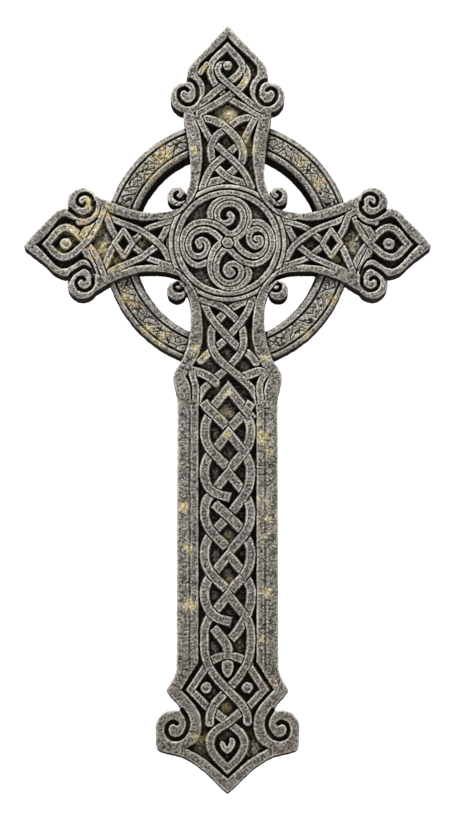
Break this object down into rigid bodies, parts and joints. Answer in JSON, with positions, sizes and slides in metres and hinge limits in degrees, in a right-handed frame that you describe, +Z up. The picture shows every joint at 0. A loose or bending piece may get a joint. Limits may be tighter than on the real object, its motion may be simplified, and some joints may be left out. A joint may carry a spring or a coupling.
{
  "type": "ringed memorial cross with a flat back",
  "caption": "Grey stone ringed memorial cross with knotwork, scrolled ends, a spiral medallion and a pointed foot, fixed by its flat back to a slab or wall.",
  "frame": {"origin": "on the flat back, behind the middle of the round medallion", "axes": "+Z up the cross, +Y out of its flat back, so that the carved front faces -Y"},
  "size_m": [0.609, 0.087, 1.1535],
  "materials": {
    "carved_stone": "weathered, tooled, with ochre lichen"
  },
  "bodies": {
    "root": {"cross": "carved_stone"}
  },
  "joints": []
}
